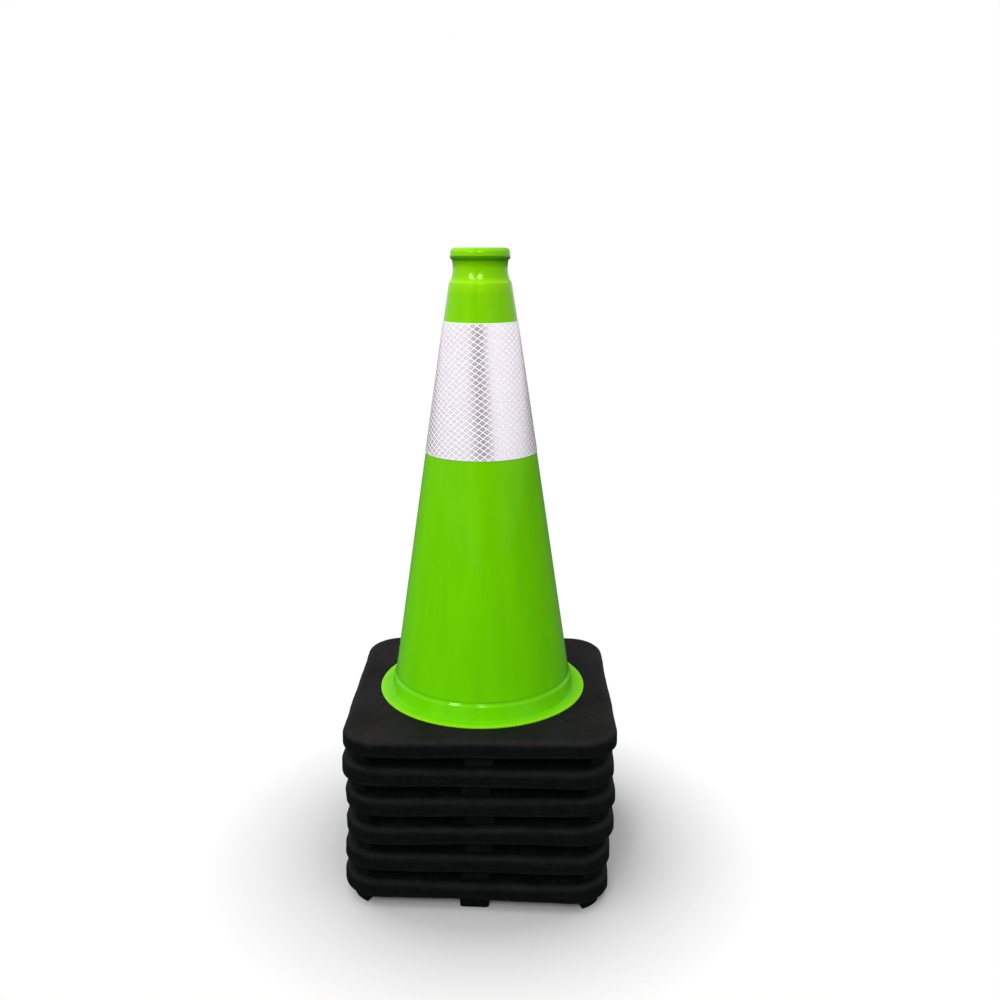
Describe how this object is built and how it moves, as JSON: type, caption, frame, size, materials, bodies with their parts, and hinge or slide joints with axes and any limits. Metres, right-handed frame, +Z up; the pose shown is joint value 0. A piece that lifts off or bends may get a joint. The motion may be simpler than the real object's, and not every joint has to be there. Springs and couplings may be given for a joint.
{
  "type": "traffic cone stack",
  "caption": "Nested stack of lime-green traffic cones with white reflective collars and square black rubber bases, each cone lifting off the one below.",
  "frame": {"origin": "centre of the stack on the floor under the lowest cone's feet, on the cones' common axis", "axes": "+Z up along the cones' common axis, -Y towards the front, X and Y along the base's sides on average (each cone is turned a degree or two)"},
  "size_m": [0.2652, 0.2652, 0.608],
  "materials": {
    "lime_pvc": "glossy injection-moulded PVC, lime green",
    "black_rubber": "matte recycled rubber, dusty and scuffed at the edges",
    "reflective_sheet": "white prismatic retroreflective sheeting with a diamond lattice"
  },
  "bodies": {
    "cone_1": {"cone_1_shell": "lime_pvc", "cone_1_base": "black_rubber", "cone_1_collar": "reflective_sheet"},
    "cone_2": {"cone_2_shell": "lime_pvc", "cone_2_base": "black_rubber", "cone_2_collar": "reflective_sheet"},
    "cone_3": {"cone_3_shell": "lime_pvc", "cone_3_base": "black_rubber", "cone_3_collar": "reflective_sheet"},
    "cone_4": {"cone_4_shell": "lime_pvc", "cone_4_base": "black_rubber", "cone_4_collar": "reflective_sheet"},
    "cone_5": {"cone_5_shell": "lime_pvc", "cone_5_base": "black_rubber", "cone_5_collar": "reflective_sheet"},
    "cone_6": {"cone_6_shell": "lime_pvc", "cone_6_base": "black_rubber", "cone_6_collar": "reflective_sheet"}
  },
  "joints": [
    {"name": "lift_cone_2", "type": "slide", "parent": "cone_1", "child": "cone_2", "axis": [0, 0, 1], "range_m": [0, 0.43]},
    {"name": "lift_cone_3", "type": "slide", "parent": "cone_2", "child": "cone_3", "axis": [0, 0, 1], "range_m": [0, 0.43]},
    {"name": "lift_cone_4", "type": "slide", "parent": "cone_3", "child": "cone_4", "axis": [0, 0, 1], "range_m": [0, 0.43]},
    {"name": "lift_cone_5", "type": "slide", "parent": "cone_4", "child": "cone_5", "axis": [0, 0, 1], "range_m": [0, 0.43]},
    {"name": "lift_cone_6", "type": "slide", "parent": "cone_5", "child": "cone_6", "axis": [0, 0, 1], "range_m": [0, 0.43]}
  ]
}
